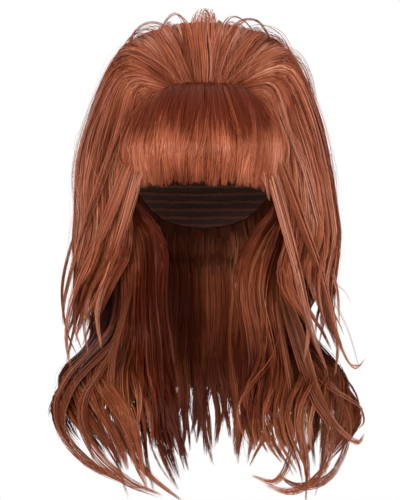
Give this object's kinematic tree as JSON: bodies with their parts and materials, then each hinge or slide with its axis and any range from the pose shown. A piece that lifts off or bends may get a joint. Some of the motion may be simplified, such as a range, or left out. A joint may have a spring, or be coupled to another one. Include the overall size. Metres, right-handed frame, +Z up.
{
  "type": "beehive wig",
  "caption": "Long bouffant wig: hollow cap, full straight fringe, high teased crown layer and a longer waved under layer that parts round the face and neck.",
  "frame": {"origin": "inside top of the cap, where the crown of the head seats", "axes": "+Z up, the face opening towards -Y, +X to the right as seen from the front"},
  "size_m": [0.3061, 0.254, 0.4762],
  "materials": {
    "hair": "fine copper-auburn synthetic hair fibre with a soft silky sheen",
    "under_hair": "the same hair fibre, darker auburn in the shaded under layer",
    "cap_net": "matt dark brown elastic net of sewn strips"
  },
  "bodies": {
    "root": {"cap": "cap_net", "fringe": "hair", "wing_layer_left": "hair", "side_layer_left": "hair", "crown_side_layer_left": "hair", "crown_back_layer_left": "hair", "back_layer_left": "hair", "wing_layer_right": "hair", "side_layer_right": "hair", "crown_side_layer_right": "hair", "crown_back_layer_right": "hair", "back_layer_right": "hair", "chest_length_left": "under_hair", "shoulder_length_left": "under_hair", "nape_side_left": "under_hair", "nape_left": "under_hair", "chest_length_right": "under_hair", "shoulder_length_right": "under_hair", "nape_side_right": "under_hair", "nape_right": "under_hair"}
  },
  "joints": []
}
